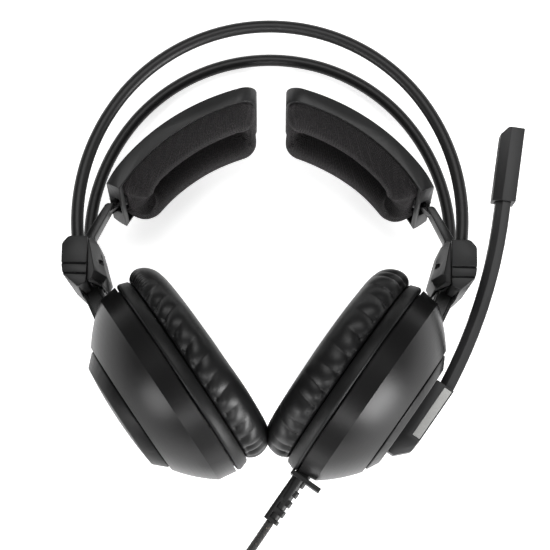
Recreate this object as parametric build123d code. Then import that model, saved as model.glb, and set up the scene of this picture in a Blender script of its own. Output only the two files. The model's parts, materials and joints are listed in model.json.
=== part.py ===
"""Closed-back headset with twin bows, wing pads, tilting cups, a turning microphone and a cord.

Every piece is drawn upright first: X to the wearer's left as seen from the front, Y to the back,
Z to the crown, with the widest level of the bows at zero. It is then laid on its back, resting on
both cup rims and the crown of the rear bow, with its front face up. Units are millimetres.
"""
from build123d import *
import math
import os

os.makedirs("parts", exist_ok=True)

# --- driving dimensions -------------------------------------------------------------------------
CLEAR = 0.15                  # static gap between pieces of one body
MOVE = 0.3                    # gap between curved faces that move past each other
RUN = 0.05                    # radial gap of a running pin

BOW_GAP = 48.0                # between the centre planes of front and rear bow
BOW_R = 2.8                   # bow rod radius
BOW_HALF = 85.2               # half width to the rod's centre
BOW_HIGH = 88.5               # crown height of the rod's centre above the widest level
BOW_TAIL = 13.0               # degrees that a bow runs on below its widest level

CUP_X, CUP_Z = 41.4, -69.5    # centre of the right cup's parting plane
CUP_TILT = 34.6               # degrees between the cup plane and the vertical
RIM_R = 49.4
DOME_Z = 23.9                 # height of the shell over the parting plane
WALL = 2.2
RING_DEEP = 6.4               # baffle ring below the parting plane
PARTING = 0.4                 # half of the dark gap at the parting plane
CUSHION_R, CUSHION_BORE, CUSHION_END, CUSHION_ROUND = 49.0, 27.0, 22.0, 12.5
CAP_R, CAP_FACE_R, CAP_TOP = 30.8, 26.2, 30.0
CAP_BREAK, CAP_DOME = 0.6, 1.6
DRIVER_R = 20.0
POST_R = 2.6                  # screw posts in the cups

BRACKET_HALF = 29.5           # half depth of a bracket, front to back
BRACKET_FACE_X = 79.7         # joint face between the bracket's two halves
YOKE_HALF, YOKE_WIDE = 7.0, 8.6
YOKE_TOP = (80.0, -30.0)      # a point of the yoke's centre line, level with the bracket's foot
YOKE_LEAN = 25.5              # degrees between the yoke and the vertical
YOKE_PIVOT = 18.0             # down the yoke from that point to the cup pivot
YOKE_UP = 10.0                # up the yoke from that point to its end in the bracket
CUP_SWING = 10.0              # degrees, as the cups turn to lie flat on the ears
ARM_SWING = 9.0
YOKE_PIN_R = 1.6

ARM_X, ARM_Z = 83.0, -13.5    # arm pivot in the bracket
ARM_HALF = 5.0
ARM_EYE = 4.0
ARM_PIN_R = 1.5
PAD_X, PAD_Z = 69.2, 14.5     # pad pivot at the arm's tip
PAD_PIN_R = 1.1
TONGUE_HALF, TONGUE_TIP = 1.3, 3.4
PAD_PITCH = 12.0              # rest angle of the pads, rear edge towards the head
PAD_ARC = (-16.0, -36.8)      # centre of the pads' curve
PAD_R, PAD_SHELL, PAD_SOFT = 102.0, 7.2, 9.6
PAD_HALF = 20.5
PAD_INNER_X, PAD_OUTER_X, PAD_CORNER = 6.8, 76.0, 8.0
PAD_SLOT_X, PAD_SLOT_LONG, PAD_SLOT_WIDE = 34.0, 42.0, 12.0
PAD_LOW_ANGLE = 28.6
PAD_APRON, PAD_NOTCH, PAD_NOTCH_Z = 1.5, 6.5, 11.6   # the end wall around the arm: thin part and opening

MIC_CAP_TOP = 27.6            # the cap under the microphone is lower than the other one
MIC_FLOOR = 27.9              # underside of the microphone base over the parting plane
MIC_THICK = 9.0
MIC_LOW, MIC_HIGH = -8.0, 19.5
MIC_HALF = 6.0
MIC_WEDGE = 11.0              # length of the thinning lower end
MIC_SPIGOT_R = 5.0
BOOM_WIDE, BOOM_HALF = 6.6, 4.0
BOOM_ROOT = 3.0               # the boom starts this far inside its base
BOOM_RISE = 5.7               # height of its centre line over the base's underside there
BOOM_BEND_R = 238.0
BOOM_LEAN = (29.0, 8.2)       # degrees from the vertical where the boom starts and where it ends
BOOM_STRAIGHT = 12.0
HEAD_WIDE, HEAD_HALF, HEAD_LONG = 10.3, 5.6, 35.0

RELIEF_LONG, RELIEF_R, RELIEF_OUT = 25.0, 3.6, 3.0
CORD_R = 1.9
PLUG_PIN_R = 1.75

# --- frames -------------------------------------------------------------------------------------
SIN_CUP, COS_CUP = math.sin(math.radians(CUP_TILT)), math.cos(math.radians(CUP_TILT))
CUP_UP = Vector(SIN_CUP, 0, COS_CUP)
CUP_OUT = Vector(COS_CUP, 0, -SIN_CUP)
CUP_FRAME = Plane(origin=(CUP_X, 0, CUP_Z), x_dir=CUP_UP, z_dir=CUP_OUT)
SIN_YOKE, COS_YOKE = math.sin(math.radians(YOKE_LEAN)), math.cos(math.radians(YOKE_LEAN))
YOKE_FRAME = Plane(origin=(YOKE_TOP[0], 0, YOKE_TOP[1]), x_dir=(COS_YOKE, 0, -SIN_YOKE),
                   z_dir=(SIN_YOKE, 0, COS_YOKE))
PIVOT_X = YOKE_TOP[0] - YOKE_PIVOT * SIN_YOKE
PIVOT_Z = YOKE_TOP[1] - YOKE_PIVOT * COS_YOKE

# At this tilt the table touches both cup rims and the crown of the rear bow. The origin is the
# middle of the laid headset's footprint, without its cord.
REST_TILT = 8.565
ORIGIN_X, ORIGIN_Y, ORIGIN_Z = 13.01, -19.72, -39.71


def lay_down(shape):
    """Upright frame to the rest pose on the table, front face up, crown away."""
    return Pos(-ORIGIN_X, -ORIGIN_Y, -ORIGIN_Z) * Rot(X=-90 - REST_TILT) * shape


# --- helpers ------------------------------------------------------------------------------------
def slab(points, half):
    """A polygon in the X-Z plane, thickened to both sides along Y."""
    return extrude(Plane.XZ * Polygon(*points, align=None), amount=half, both=True)


def rod(radius, start, end):
    start, end = Vector(*start), Vector(*end)
    frame = Plane(origin=start, z_dir=end - start)
    return extrude(frame * Circle(radius), amount=(end - start).length)


def block(x, y, z):
    """A box from three (low, high) pairs."""
    size = [high - low for low, high in (x, y, z)]
    centre = [(high + low) / 2 for low, high in (x, y, z)]
    return Pos(*centre) * Box(*size)


def turned(edges):
    """Solid of revolution about Z from the edges of a closed (radius, height) outline."""
    return revolve(make_face(Plane.XZ * Wire(edges)), axis=Axis.Z)


def turned_polygon(points):
    return revolve(Plane.XZ * Polygon(*points, align=None), axis=Axis.Z)


def disc(radius, low, high, bore=0.0):
    body = Pos(0, 0, low) * extrude(Circle(radius), amount=high - low)
    if bore:
        body -= Pos(0, 0, low - 1) * extrude(Circle(bore), amount=high - low + 2)
    return body


def on_cup(shape):
    return CUP_FRAME.location * shape


def on_yoke(shape):
    return YOKE_FRAME.location * shape


def other_side(shape):
    return mirror(shape, about=Plane.YZ)


# --- bows ---------------------------------------------------------------------------------------
def bow(y, radius):
    """A rod bent to three tangent arcs, near to an ellipse."""
    side_r = BOW_HIGH ** 2 / BOW_HALF
    back = side_r - BOW_HALF
    rise = (back ** 2 - (side_r - BOW_HIGH) ** 2) / (2 * (side_r - BOW_HIGH))
    top_r = BOW_HIGH - rise
    blend = math.degrees(math.atan2(rise, back))
    frame = Plane(origin=(0, y, 0), x_dir=(1, 0, 0), z_dir=(0, -1, 0))
    arcs = [
        CenterArc((-back, 0), side_r, -BOW_TAIL, BOW_TAIL + blend),
        CenterArc((0, rise), top_r, blend, 180 - 2 * blend),
        CenterArc((back, 0), side_r, 180 - blend, blend + BOW_TAIL),
    ]
    path = Wire([frame * arc for arc in arcs])
    section = Plane(origin=path @ 0, z_dir=path % 0) * Circle(radius)
    return sweep(section, path=path)


# --- brackets, yokes and arms -------------------------------------------------------------------
def yoke_room(gap, up, down):
    wide = YOKE_WIDE / 2 + gap
    return on_yoke(block((-wide, wide), (-YOKE_HALF - gap, YOKE_HALF + gap), (-down, up)))


def arm_room():
    """Room in the bracket for the arm's eye and for its swing."""
    half = ARM_HALF + MOVE
    eye = rod(ARM_EYE + MOVE, (ARM_X, -half, ARM_Z), (ARM_X, half, ARM_Z))
    mouth = slab([(ARM_X - 4.9, ARM_Z), (ARM_X + 4.3, ARM_Z), (ARM_X + 6.2, ARM_Z + 12),
                  (ARM_X - 6.5, ARM_Z + 12)], half)
    return eye + mouth


def screw_at(x, y, z, toward, length, head_r=1.9, shank_r=0.95, grow=0.0):
    """A pan-head screw whose head stands at the point and whose shank runs along toward."""
    head_high = 1.2
    frame = Plane(origin=(x, y, z), z_dir=toward)
    head = extrude(Circle(head_r + grow), amount=head_high + grow)
    shank = extrude(Circle(shank_r + grow), amount=length + grow)
    screw = head + shank
    if not grow:
        for angle in (0, 90):
            screw -= Rot(Z=angle) * block((-1.2, 1.2), (-0.22, 0.22), (-0.1, 0.7))
    return frame.location * screw


BRACKET_SCREW_Y, BRACKET_SCREW_Z, BRACKET_SCREW_X = 10.8, -16.5, 76.2
BELT_LINES = ((-22.8, 90.4), (-27.2, 89.7))     # height of each belt line and how deep it is cut
POCKET_X, POCKET_Z, POCKET_R = 74.8, -19.6, 1.2


def bracket_screws(grow=0.0):
    return [screw_at(BRACKET_SCREW_X, y, BRACKET_SCREW_Z, (1, 0, 0), 9.0, grow=grow)
            for y in (-BRACKET_SCREW_Y, BRACKET_SCREW_Y)]


def bracket_outer():
    """Bell-shaped outer half: rounded shoulder, two belt lines, and a foot that rises to the rear."""
    top, foot, foot_front, foot_rise = -10.3, -33.0, 12.0 - BRACKET_HALF, 0.25
    belt_high, belt = (line for line, _ in BELT_LINES)
    face = BRACKET_FACE_X + 0.1
    body = slab([(face, top), (88.0, top), (90.9, -13.6), (90.9, belt_high), (90.2, belt),
                 (83.6, foot), (face, -31.0)], BRACKET_HALF)
    shoulder = body.edges().filter_by(Axis.Y).filter_by(
        lambda edge: edge.center().X > 86 and edge.center().Z > -14)
    body = fillet(shoulder, 2.9)
    rear = BRACKET_HALF + 5
    under = Polygon((-BRACKET_HALF, belt), (foot_front, foot), (rear, foot + foot_rise * (rear - foot_front)),
                    (rear, foot - 10), (-BRACKET_HALF - 5, foot - 10), (-BRACKET_HALF - 5, belt), align=None)
    body -= Pos(70, 0, 0) * extrude(Plane.YZ * under, amount=30)
    for side in (-1, 1):
        for line, _ in BELT_LINES:
            body -= block((70, 100), sorted((side * (BRACKET_HALF - 0.5), side * (BRACKET_HALF + 1))),
                          (line - 0.1, line + 0.5))
        corner = Polygon((91.5, side * (BRACKET_HALF - 4.5)), (91.5, side * (BRACKET_HALF + 1)),
                         (87.0, side * (BRACKET_HALF + 1)), align=None)
        body -= Pos(0, 0, -40) * extrude(corner, amount=40)
    for line, deep in BELT_LINES:
        body -= block((deep, 92), (-BRACKET_HALF - 1, BRACKET_HALF + 1), (line - 0.1, line + 0.5))
    body -= yoke_room(CLEAR, YOKE_UP + CLEAR, 40)
    body -= arm_room()
    for y in (-BOW_GAP / 2, BOW_GAP / 2):
        body -= bow(y, BOW_R + 0.1)
    for tool in bracket_screws(grow=0.1):
        body -= tool
    body -= arm_pin(0.03)
    return body


def bracket_inner():
    """Inner half: a faceted cover, drawn in to the ends, with a small moulding pocket in front."""
    face = BRACKET_FACE_X
    middle = [(face, -7.4), (76.6, -11.0), (72.3, -25.6), (74.2, -29.2), (face, -29.4)]
    end = [(face, -10.9), (78.9, -13.2), (76.6, -25.0), (77.5, -28.8), (face, -29.4)]
    bend, tip = 13.0, BRACKET_HALF - 2.5
    body = slab(middle, bend)
    for side in (-1, 1):
        sections = []
        for points, y in ((middle, side * bend), (end, side * tip)):
            frame = Plane(origin=(0, y, 0), x_dir=(1, 0, 0), z_dir=(0, -1, 0))
            sections.append(frame * Polygon(*points, align=None))
        body += loft(sections, ruled=True)
    body -= yoke_room(CLEAR, YOKE_UP + CLEAR, 40)
    body -= arm_room()
    for y in (-BOW_GAP / 2, BOW_GAP / 2):
        body -= bow(y, BOW_R + 0.1)
    for y in (-BRACKET_SCREW_Y, BRACKET_SCREW_Y):
        body -= rod(2.0, (60, y, BRACKET_SCREW_Z), (BRACKET_SCREW_X + 1.3, y, BRACKET_SCREW_Z))
        body -= rod(1.05, (60, y, BRACKET_SCREW_Z), (90, y, BRACKET_SCREW_Z))
    return body - rod(POCKET_R, (POCKET_X, -bend, POCKET_Z), (POCKET_X, -BRACKET_HALF, POCKET_Z))


def yoke():
    """Channel-section hanger with ribs along both edges and an eye at the cup pivot."""
    half = YOKE_WIDE / 2
    bar = block((-half, half), (-YOKE_HALF, YOKE_HALF), (-YOKE_PIVOT, YOKE_UP))
    rib, deep = 1.3, 1.6
    for side in (-1, 1):
        bar -= block((-half + rib, half - rib),
                     sorted((side * (YOKE_HALF - deep), side * (YOKE_HALF + 1))),
                     (-YOKE_PIVOT + 7, YOKE_UP - 3))
    eye = Pos(0, 0, -YOKE_PIVOT) * Rot(X=90) * Cylinder(half, 2 * YOKE_HALF)
    hole = Pos(0, 0, -YOKE_PIVOT) * Rot(X=90) * Cylinder(YOKE_PIN_R, 3 * YOKE_HALF)
    return on_yoke(bar + eye - hole)


def yoke_pin():
    reach = YOKE_HALF + 4.4
    return rod(YOKE_PIN_R, (PIVOT_X, -reach, PIVOT_Z), (PIVOT_X, reach, PIVOT_Z))


def arm_pin(grow=0.0):
    reach = ARM_HALF + 5 + grow
    return rod(ARM_PIN_R + grow, (ARM_X, -reach, ARM_Z), (ARM_X, reach, ARM_Z))


def arm():
    """Flat strap from its eye in the bracket to a tongue that carries the pad."""
    strap = slab([(ARM_X + 4.0, ARM_Z), (85.6, -8.0), (75.2, 9.6), (74.0, 10.3),
                  (71.4, 10.0), (79.3, -5.6), (ARM_X - 4.0, ARM_Z)], ARM_HALF)
    eye = rod(ARM_EYE, (ARM_X, -ARM_HALF, ARM_Z), (ARM_X, ARM_HALF, ARM_Z))
    low, high = PAD_X - TONGUE_HALF, PAD_X + TONGUE_HALF
    tongue = slab([(73.0, 6.8), (76.0, 7.6), (74.0, 10.3), (high, 10.3), (high, PAD_Z), (low, PAD_Z),
                   (low, 11.6)], TONGUE_TIP)
    tip = rod(TONGUE_TIP, (low, 0, PAD_Z), (high, 0, PAD_Z))
    body = strap + eye + tongue + tip
    body -= rod(ARM_PIN_R + RUN, (ARM_X, -20, ARM_Z), (ARM_X, 20, ARM_Z))
    return body - rod(PAD_PIN_R, (60, 0, PAD_Z), (80, 0, PAD_Z))


# --- wing pads ----------------------------------------------------------------------------------
def pitched(shape):
    pivot = Pos(0, 0, PAD_Z)
    return pivot * Rot(X=-PAD_PITCH) * pivot.inverse() * shape


def pad_layer(outer_r, inner_r, inset, low_angle):
    """A curved layer of the pad with rounded corners in plan."""
    cx, cz = PAD_ARC
    ring = rod(outer_r, (cx, -PAD_HALF + inset, cz), (cx, PAD_HALF - inset, cz))
    ring -= rod(inner_r, (cx, -40, cz), (cx, 40, cz))
    reach, angle = 200, math.radians(low_angle)
    ray = (cx + reach * math.cos(angle), cz + reach * math.sin(angle))
    sector = slab([(cx, cz), ray, (ray[0], reach), (cx, reach)], 60)
    sector -= block((-200, PAD_INNER_X + inset), (-100, 100), (-200, 300))
    long_half = (PAD_OUTER_X - PAD_INNER_X) / 2 - inset
    plan = Pos((PAD_OUTER_X + PAD_INNER_X) / 2, 0, -60) * extrude(
        RectangleRounded(2 * long_half, 2 * (PAD_HALF - inset), PAD_CORNER - inset), amount=200)
    return ring & sector & plan


EAR_THICK, EAR_R, EAR_HALF = 2.4, 3.8, 6.0


def ear_block(grow=0.0):
    """Two ears in one: round under the pin, square above it."""
    inner = PAD_X - TONGUE_HALF - 0.2 - EAR_THICK - grow
    outer = PAD_X + TONGUE_HALF + 0.2 + EAR_THICK + grow
    top = slab([(inner, PAD_Z), (outer, PAD_Z), (outer, PAD_Z + 2.5), (PAD_X + 1.5, PAD_Z + 5.0),
                (inner, PAD_Z + 5.0)], EAR_HALF + grow)
    return top + rod(EAR_R + grow, (inner, 0, PAD_Z), (outer, 0, PAD_Z))


def pad_shell():
    """Stiff tray with a side wall, an end wall open around the arm, and two ears for the pivot pin."""
    body = pad_layer(PAD_R, PAD_R - PAD_SHELL, 0.0, PAD_LOW_ANGLE)
    body -= pad_layer(PAD_R - 2.0, PAD_R - PAD_SHELL - 1, 1.7, PAD_LOW_ANGLE + 1.5)
    body += ear_block()
    gap, slot_half = TONGUE_HALF + 0.2, EAR_HALF + 1
    opening = block((PAD_X - gap, PAD_X + gap), (-slot_half, slot_half), (0, PAD_Z + 3.8))
    opening += block((60, 90), (-PAD_NOTCH, PAD_NOTCH), (0, PAD_NOTCH_Z))
    cx, cz = PAD_ARC
    opening -= rod(PAD_R - PAD_SHELL + PAD_APRON, (cx, -20, cz), (cx, 20, cz))
    body -= opening
    body -= rod(PAD_PIN_R + RUN, (60, 0, PAD_Z), (80, 0, PAD_Z))
    return pitched(body)


def pad_cushion():
    """Ring cushion that fills the tray and stands out of it, with a long slot."""
    body = pad_layer(PAD_R - 2.0 - CLEAR, PAD_R - PAD_SHELL - PAD_SOFT, 2.0, PAD_LOW_ANGLE + 1.8)
    body -= ear_block(0.3)
    body -= block((PAD_X - 6, PAD_X + 8), (-12, 12), (-10, PAD_Z + 4))
    slot = Pos(PAD_SLOT_X, 0, -60) * extrude(SlotOverall(PAD_SLOT_LONG, PAD_SLOT_WIDE), amount=200)
    return pitched(body - slot)


def pad_pin():
    reach = TONGUE_HALF + EAR_THICK + 0.1
    return rod(PAD_PIN_R, (PAD_X - reach, 0, PAD_Z), (PAD_X + reach, 0, PAD_Z))


# --- ear cups -----------------------------------------------------------------------------------
def dome(radius, shoulder, top, low):
    """Closed outline of the cup's outside or inside, from the axis to the rim and back."""
    crease = (radius - 1.3, shoulder + 3.2)
    crown = (33.0 - (RIM_R - radius) * 0.6, top)
    bulge = (radius - 9.0, top * 0.74)
    edges = [Line((0, low), (radius, low)), Line((radius, low), crease),
             ThreePointArc(crease, bulge, crown), Line(crown, (0, top)), Line((0, top), (0, low))]
    return turned(edges)


# Radius and angle of each screw; the one nearest to the cord's exit stands further in.
CUP_SCREWS = [(43.0, 130), (38.0, 180), (43.0, 230)]


def cup_screw_spots():
    return [(radius * math.cos(math.radians(angle)), radius * math.sin(math.radians(angle)))
            for radius, angle in CUP_SCREWS]


def cup_shell(microphone):
    outside = dome(RIM_R, 5.8, DOME_Z, PARTING)
    inside = dome(RIM_R - WALL, 5.4, DOME_Z - WALL, PARTING - 1)
    body = outside - inside
    pivot = CUP_FRAME.to_local_coords(Vector(PIVOT_X, 0, PIVOT_Z))
    for side in (-1, 1):
        low = YOKE_HALF + 0.3
        cheek = block((pivot.X - 4, pivot.X + 4), sorted((side * low, side * (low + 4))),
                      (pivot.Z - 4, DOME_Z + 5)) & outside
        body += cheek
    for x, y in cup_screw_spots():
        body += Pos(x, y, 0) * disc(POST_R, 3.6, DOME_Z + 5) & outside
        body -= Pos(x, y, 0) * disc(1.0, 0, 9.5)
    body = on_cup(body)
    body -= rod(YOKE_PIN_R + RUN, (PIVOT_X, -YOKE_HALF - 4.6, PIVOT_Z),
                (PIVOT_X, YOKE_HALF + 4.6, PIVOT_Z))
    half = YOKE_WIDE / 2
    slot_half = YOKE_HALF + 0.3
    body -= on_yoke(block((-half - 0.8, half + 1.6), (-slot_half, slot_half), (-YOKE_PIVOT, 10)))
    body -= rod(half + MOVE, (PIVOT_X, -slot_half, PIVOT_Z), (PIVOT_X, slot_half, PIVOT_Z))
    if microphone:
        body -= on_cup(disc(2.4, DOME_Z - WALL - 1, DOME_Z + 1))
        body -= on_cup(relief_room())
    return body


def cap_face(rise, top):
    """The cap's face from its edge to the axis: an arc of a sphere that rises by so much, or flat."""
    edge, centre = (CAP_FACE_R - CAP_BREAK, top), (0, top + rise)
    if not rise:
        return Line(edge, centre)
    sphere_r = (edge[0] ** 2 + rise ** 2) / (2 * rise)
    half_way = math.asin(edge[0] / sphere_r) / 2
    middle = (sphere_r * math.sin(half_way), centre[1] - sphere_r * (1 - math.cos(half_way)))
    return ThreePointArc(edge, middle, centre)


def cup_cap(microphone):
    """Raised round cap with a wide slanted side; slightly domed where no microphone sits on it."""
    seat, straight = DOME_Z + 0.1, DOME_Z + 0.9
    rise, top = (0.0, MIC_CAP_TOP) if microphone else (CAP_DOME, CAP_TOP)
    body = turned([
        Line((0, seat), (CAP_R, seat)), Line((CAP_R, seat), (CAP_R, straight)),
        Line((CAP_R, straight), (CAP_FACE_R, top - 0.4)),
        Line((CAP_FACE_R, top - 0.4), (CAP_FACE_R - CAP_BREAK, top)),
        cap_face(rise, top), Line((0, top + rise), (0, seat))])
    body -= turned_polygon([
        (0, seat - 1), (CAP_R - 3, seat - 1), (CAP_R - 3, straight + 0.2),
        (CAP_FACE_R - 1.6, top - WALL), (0, top - WALL)])
    if microphone:
        body -= disc(MIC_SPIGOT_R + RUN, DOME_Z, top + 1)
    return on_cup(body)


def cup_baffle(cord_side):
    """Ring and plate that close the cup, with a seat for the driver and a lip into the shell."""
    outer = [(RIM_R - 4, -PARTING), (RIM_R - 0.5, -PARTING), (RIM_R + 0.2, -PARTING - 0.9),
             (RIM_R + 0.2, -PARTING - 1.8), (RIM_R - 1.0, -RING_DEEP + 0.7), (RIM_R - 1.9, -RING_DEEP),
             (RIM_R - 4, -RING_DEEP)]
    body = turned_polygon(outer)
    body += disc(RIM_R - 3.5, -RING_DEEP, -RING_DEEP + 2.4, DRIVER_R + 0.1)
    lip = RIM_R - WALL - 0.3
    body += disc(lip, -RING_DEEP + 2, 2.2, lip - 1.6)
    for x, y in cup_screw_spots():
        body += Pos(x, y, 0) * disc(POST_R, -RING_DEEP + 1, 3.4)
        body -= Pos(x, y, 0) * disc(1.1, -RING_DEEP - 1, 5)
        body -= Pos(x, y, 0) * disc(2.1, -RING_DEEP - 1, -RING_DEEP + 1.4)
    body = on_cup(body)
    half = YOKE_WIDE / 2
    body -= on_yoke(block((-half - 1.0, half + 2.0), (-YOKE_HALF - 0.4, YOKE_HALF + 0.4), (-24, 10)))
    return body - on_cup(relief_room()) if cord_side else body


def cup_screws():
    made = [screw_at(x, y, -RING_DEEP + 0.15, (0, 0, 1), 13.0) for x, y in cup_screw_spots()]
    return on_cup(group(made))


def driver_basket():
    """Wall, seating flange and back plate in one."""
    body = disc(DRIVER_R, -RING_DEEP + 0.2, -RING_DEEP + 4.2, DRIVER_R - 1.4)
    body += disc(DRIVER_R + 1.6, -RING_DEEP + 2.5, -RING_DEEP + 3.7, DRIVER_R - 1.4)
    body += disc(DRIVER_R - 0.4, -RING_DEEP + 4.0, -RING_DEEP + 5.4, 9.0)
    return on_cup(body)


def driver_magnet():
    return on_cup(disc(8.9, -RING_DEEP + 4.2, -RING_DEEP + 9.4, 2.0))


def driver_cone():
    """Diaphragm: a dome in the middle and a half-round surround."""
    low, thick = -RING_DEEP + 1.0, 0.5
    ridge = [(0, 1.9), (3.6, 1.7), (7.0, 1.1), (10.2, 0.0), (12.0, 0.9), (14.4, 1.3), (16.8, 0.9),
             (DRIVER_R - 1.6, 0.0)]
    under = [(r, low + z) for r, z in ridge]
    over = [(r, low + z + thick) for r, z in reversed(ridge)]
    return on_cup(turned_polygon(under + over))


def driver_guard():
    """Perforated guard plate in front of the driver, under the cushion's cloth."""
    body = disc(25.5, -RING_DEEP - 1.1, -RING_DEEP - 0.1)
    pitch, rows = 5.0, range(-3, 4)
    for row in rows:
        for column in rows:
            x = (column + (row % 2) / 2) * pitch
            y = row * pitch * math.sqrt(3) / 2
            if math.hypot(x, y) < DRIVER_R - 3:
                body -= Pos(x, y, 0) * disc(1.3, -RING_DEEP - 2, -RING_DEEP + 1)
    return on_cup(body)


def ear_cushion():
    """Ring cushion with full, rounded shoulders."""
    low, high = -CUSHION_END, -RING_DEEP - 0.1
    r, bore, soft = CUSHION_R, CUSHION_BORE, CUSHION_ROUND
    inner_soft = 7.5
    mid = math.sqrt(0.5)
    return on_cup(turned([
        Line((bore + 1.5, high), (r - 2.5, high)),
        ThreePointArc((r - 2.5, high), (r - 2.5 + 2.5 * mid, high - 2.5 + 2.5 * mid), (r, high - 2.5)),
        ThreePointArc((r, high - 2.5), (r - soft + soft * mid, low + soft - soft * mid), (r - soft, low)),
        Line((r - soft, low), (bore + inner_soft, low)),
        ThreePointArc((bore + inner_soft, low), (bore + inner_soft * (1 - mid), low + inner_soft * (1 - mid)),
                      (bore, low + inner_soft)),
        Line((bore, low + inner_soft), (bore, high - 1.5)),
        Line((bore, high - 1.5), (bore + 1.5, high)),
    ]))


# --- microphone ---------------------------------------------------------------------------------
TRIM_X = (MIC_LOW + 0.9, MIC_HIGH - 0.9)
TRIM_Z = (MIC_FLOOR + 4.6, MIC_FLOOR + MIC_THICK - 0.5)


def mic_base():
    """Bar that turns on the cap: square at the boom, thinning to a wedge at the other end."""
    top = MIC_FLOOR + MIC_THICK
    side = [(MIC_HIGH, MIC_FLOOR), (MIC_HIGH, top), (MIC_LOW, top), (MIC_LOW - 5.4, top - 0.4),
            (MIC_LOW - MIC_WEDGE, top - 5.8), (MIC_LOW - MIC_WEDGE, MIC_FLOOR)]
    body = slab(side, MIC_HALF)
    body = fillet(body.edges().filter_by(Axis.X).group_by(Axis.Z)[-1], 0.6)
    for end in (-1, 1):
        beyond, outside = MIC_LOW - MIC_WEDGE - 1, end * (MIC_HALF + 0.4)
        corner = Polygon((beyond, end * (MIC_HALF - 4.8)), (MIC_LOW - 1.5, outside), (beyond, outside),
                         align=None)
        body -= Pos(0, 0, MIC_FLOOR - 1) * extrude(corner, amount=MIC_THICK + 2)
    body -= block(TRIM_X, (MIC_HALF - 0.8, MIC_HALF + 1), TRIM_Z)
    body += disc(MIC_SPIGOT_R, MIC_CAP_TOP - 3.2, MIC_FLOOR + 0.5)
    body -= disc(1.6, MIC_CAP_TOP - 4, MIC_FLOOR)
    return on_cup(body)


def mic_trim():
    """Ribbed insert along the front of the base."""
    gap = 0.1
    x_low, x_high = TRIM_X[0] + gap, TRIM_X[1] - gap
    z_low, z_high = TRIM_Z[0] + gap, TRIM_Z[1] - gap
    body = block((x_low, x_high), (MIC_HALF - 0.7, MIC_HALF - 0.1), (z_low, z_high))
    ribs, rib_wide = 22, 0.55
    for index in range(ribs):
        x = x_low + (index + 0.5) * (x_high - x_low) / ribs
        body += block((x - rib_wide / 2, x + rib_wide / 2), (MIC_HALF - 0.2, MIC_HALF + 0.12),
                      (z_low, z_high))
    return on_cup(body)


def mic_clip():
    """Ring under the cap that holds the base's spigot."""
    return on_cup(disc(7.4, MIC_CAP_TOP - 3.1, MIC_CAP_TOP - 2.3, MIC_SPIGOT_R))


def boom_points():
    """Start, tangents and end of the boom's centre line, in the X-Z plane."""
    root = Vector(MIC_HIGH - BOOM_ROOT, 0, MIC_FLOOR + BOOM_RISE)
    start = CUP_FRAME.from_local_coords(root)
    first, last = (math.radians(angle) for angle in BOOM_LEAN)
    bend_x = start.X + BOOM_BEND_R * (math.cos(last) - math.cos(first))
    bend_z = start.Z + BOOM_BEND_R * (math.sin(first) - math.sin(last))
    end_x = bend_x + BOOM_STRAIGHT * math.sin(last)
    end_z = bend_z + BOOM_STRAIGHT * math.cos(last)
    return (start.X, start.Z), (bend_x, bend_z), (end_x, end_z)


def boom():
    """Five-sided bar, bent in one arc and then straight."""
    start, bend, end = boom_points()
    first, last = (math.radians(angle) for angle in BOOM_LEAN)
    half, cut = BOOM_WIDE / 2, 2.8
    outline = [(-half, BOOM_HALF), (-half, -BOOM_HALF + cut), (-half + cut, -BOOM_HALF),
               (half, -BOOM_HALF), (half, BOOM_HALF)]
    frame = Plane(origin=(start[0], 0, start[1]), x_dir=(math.cos(first), 0, -math.sin(first)),
                  z_dir=(math.sin(first), 0, math.cos(first)))
    centre_x = start[0] - BOOM_BEND_R * math.cos(first)
    centre_z = start[1] + BOOM_BEND_R * math.sin(first)
    section = frame * Polygon(*outline, align=None)
    bent = revolve(section, axis=Axis((centre_x, 0, centre_z), (0, -1, 0)),
                   revolution_arc=math.degrees(first - last))
    tip = Plane(origin=(bend[0], 0, bend[1]), x_dir=(math.cos(last), 0, -math.sin(last)),
                z_dir=(math.sin(last), 0, math.cos(last)))
    straight = extrude(tip * Polygon(*outline, align=None), amount=BOOM_STRAIGHT)
    return bent + straight


def head_frame():
    _, _, end = boom_points()
    last = math.radians(BOOM_LEAN[1])
    return Plane(origin=(end[0], 0, end[1]), x_dir=(math.cos(last), 0, -math.sin(last)),
                 z_dir=(math.sin(last), 0, math.cos(last)))


def head_outline(inset, cut=4.0):
    half = HEAD_WIDE / 2 - inset
    deep = HEAD_HALF - inset
    return [(-half, deep), (-half, -deep + cut), (-half + cut, -deep), (half, -deep), (half, deep)]


HEAD_LOW = -5.0
GRILLE_Y = (-1.0, 4.4)


def head_body(inset, low, high):
    return Pos(0, 0, low) * extrude(Polygon(*head_outline(inset), align=None), amount=high - low)


def mic_head():
    """Hollow box head around the boom's tip, its top corner cut back on the mouth side."""
    low, high = HEAD_LOW, HEAD_LOW + HEAD_LONG
    body = head_body(0, low, high)
    body -= Pos(-HEAD_WIDE / 2, 0, high) * Rot(Y=45) * Box(4.2, 30, 4.2)
    body -= head_body(1.3, 5.0, high - 1.3) - Pos(-HEAD_WIDE / 2, 0, high) * Rot(Y=45) * Box(7, 30, 7)
    body -= block((-HEAD_WIDE, 0), GRILLE_Y, (7.0, 25.0))
    body -= Pos(0, 0, -20) * extrude(Polygon(*boom_socket(), align=None), amount=20.1)
    return head_frame().location * body


def boom_socket():
    half, cut, gap = BOOM_WIDE / 2, 2.8, 0.1
    return [(-half - gap, BOOM_HALF + gap), (-half - gap, -BOOM_HALF + cut), (-half + cut, -BOOM_HALF - gap),
            (half + gap, -BOOM_HALF - gap), (half + gap, BOOM_HALF + gap)]


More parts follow.
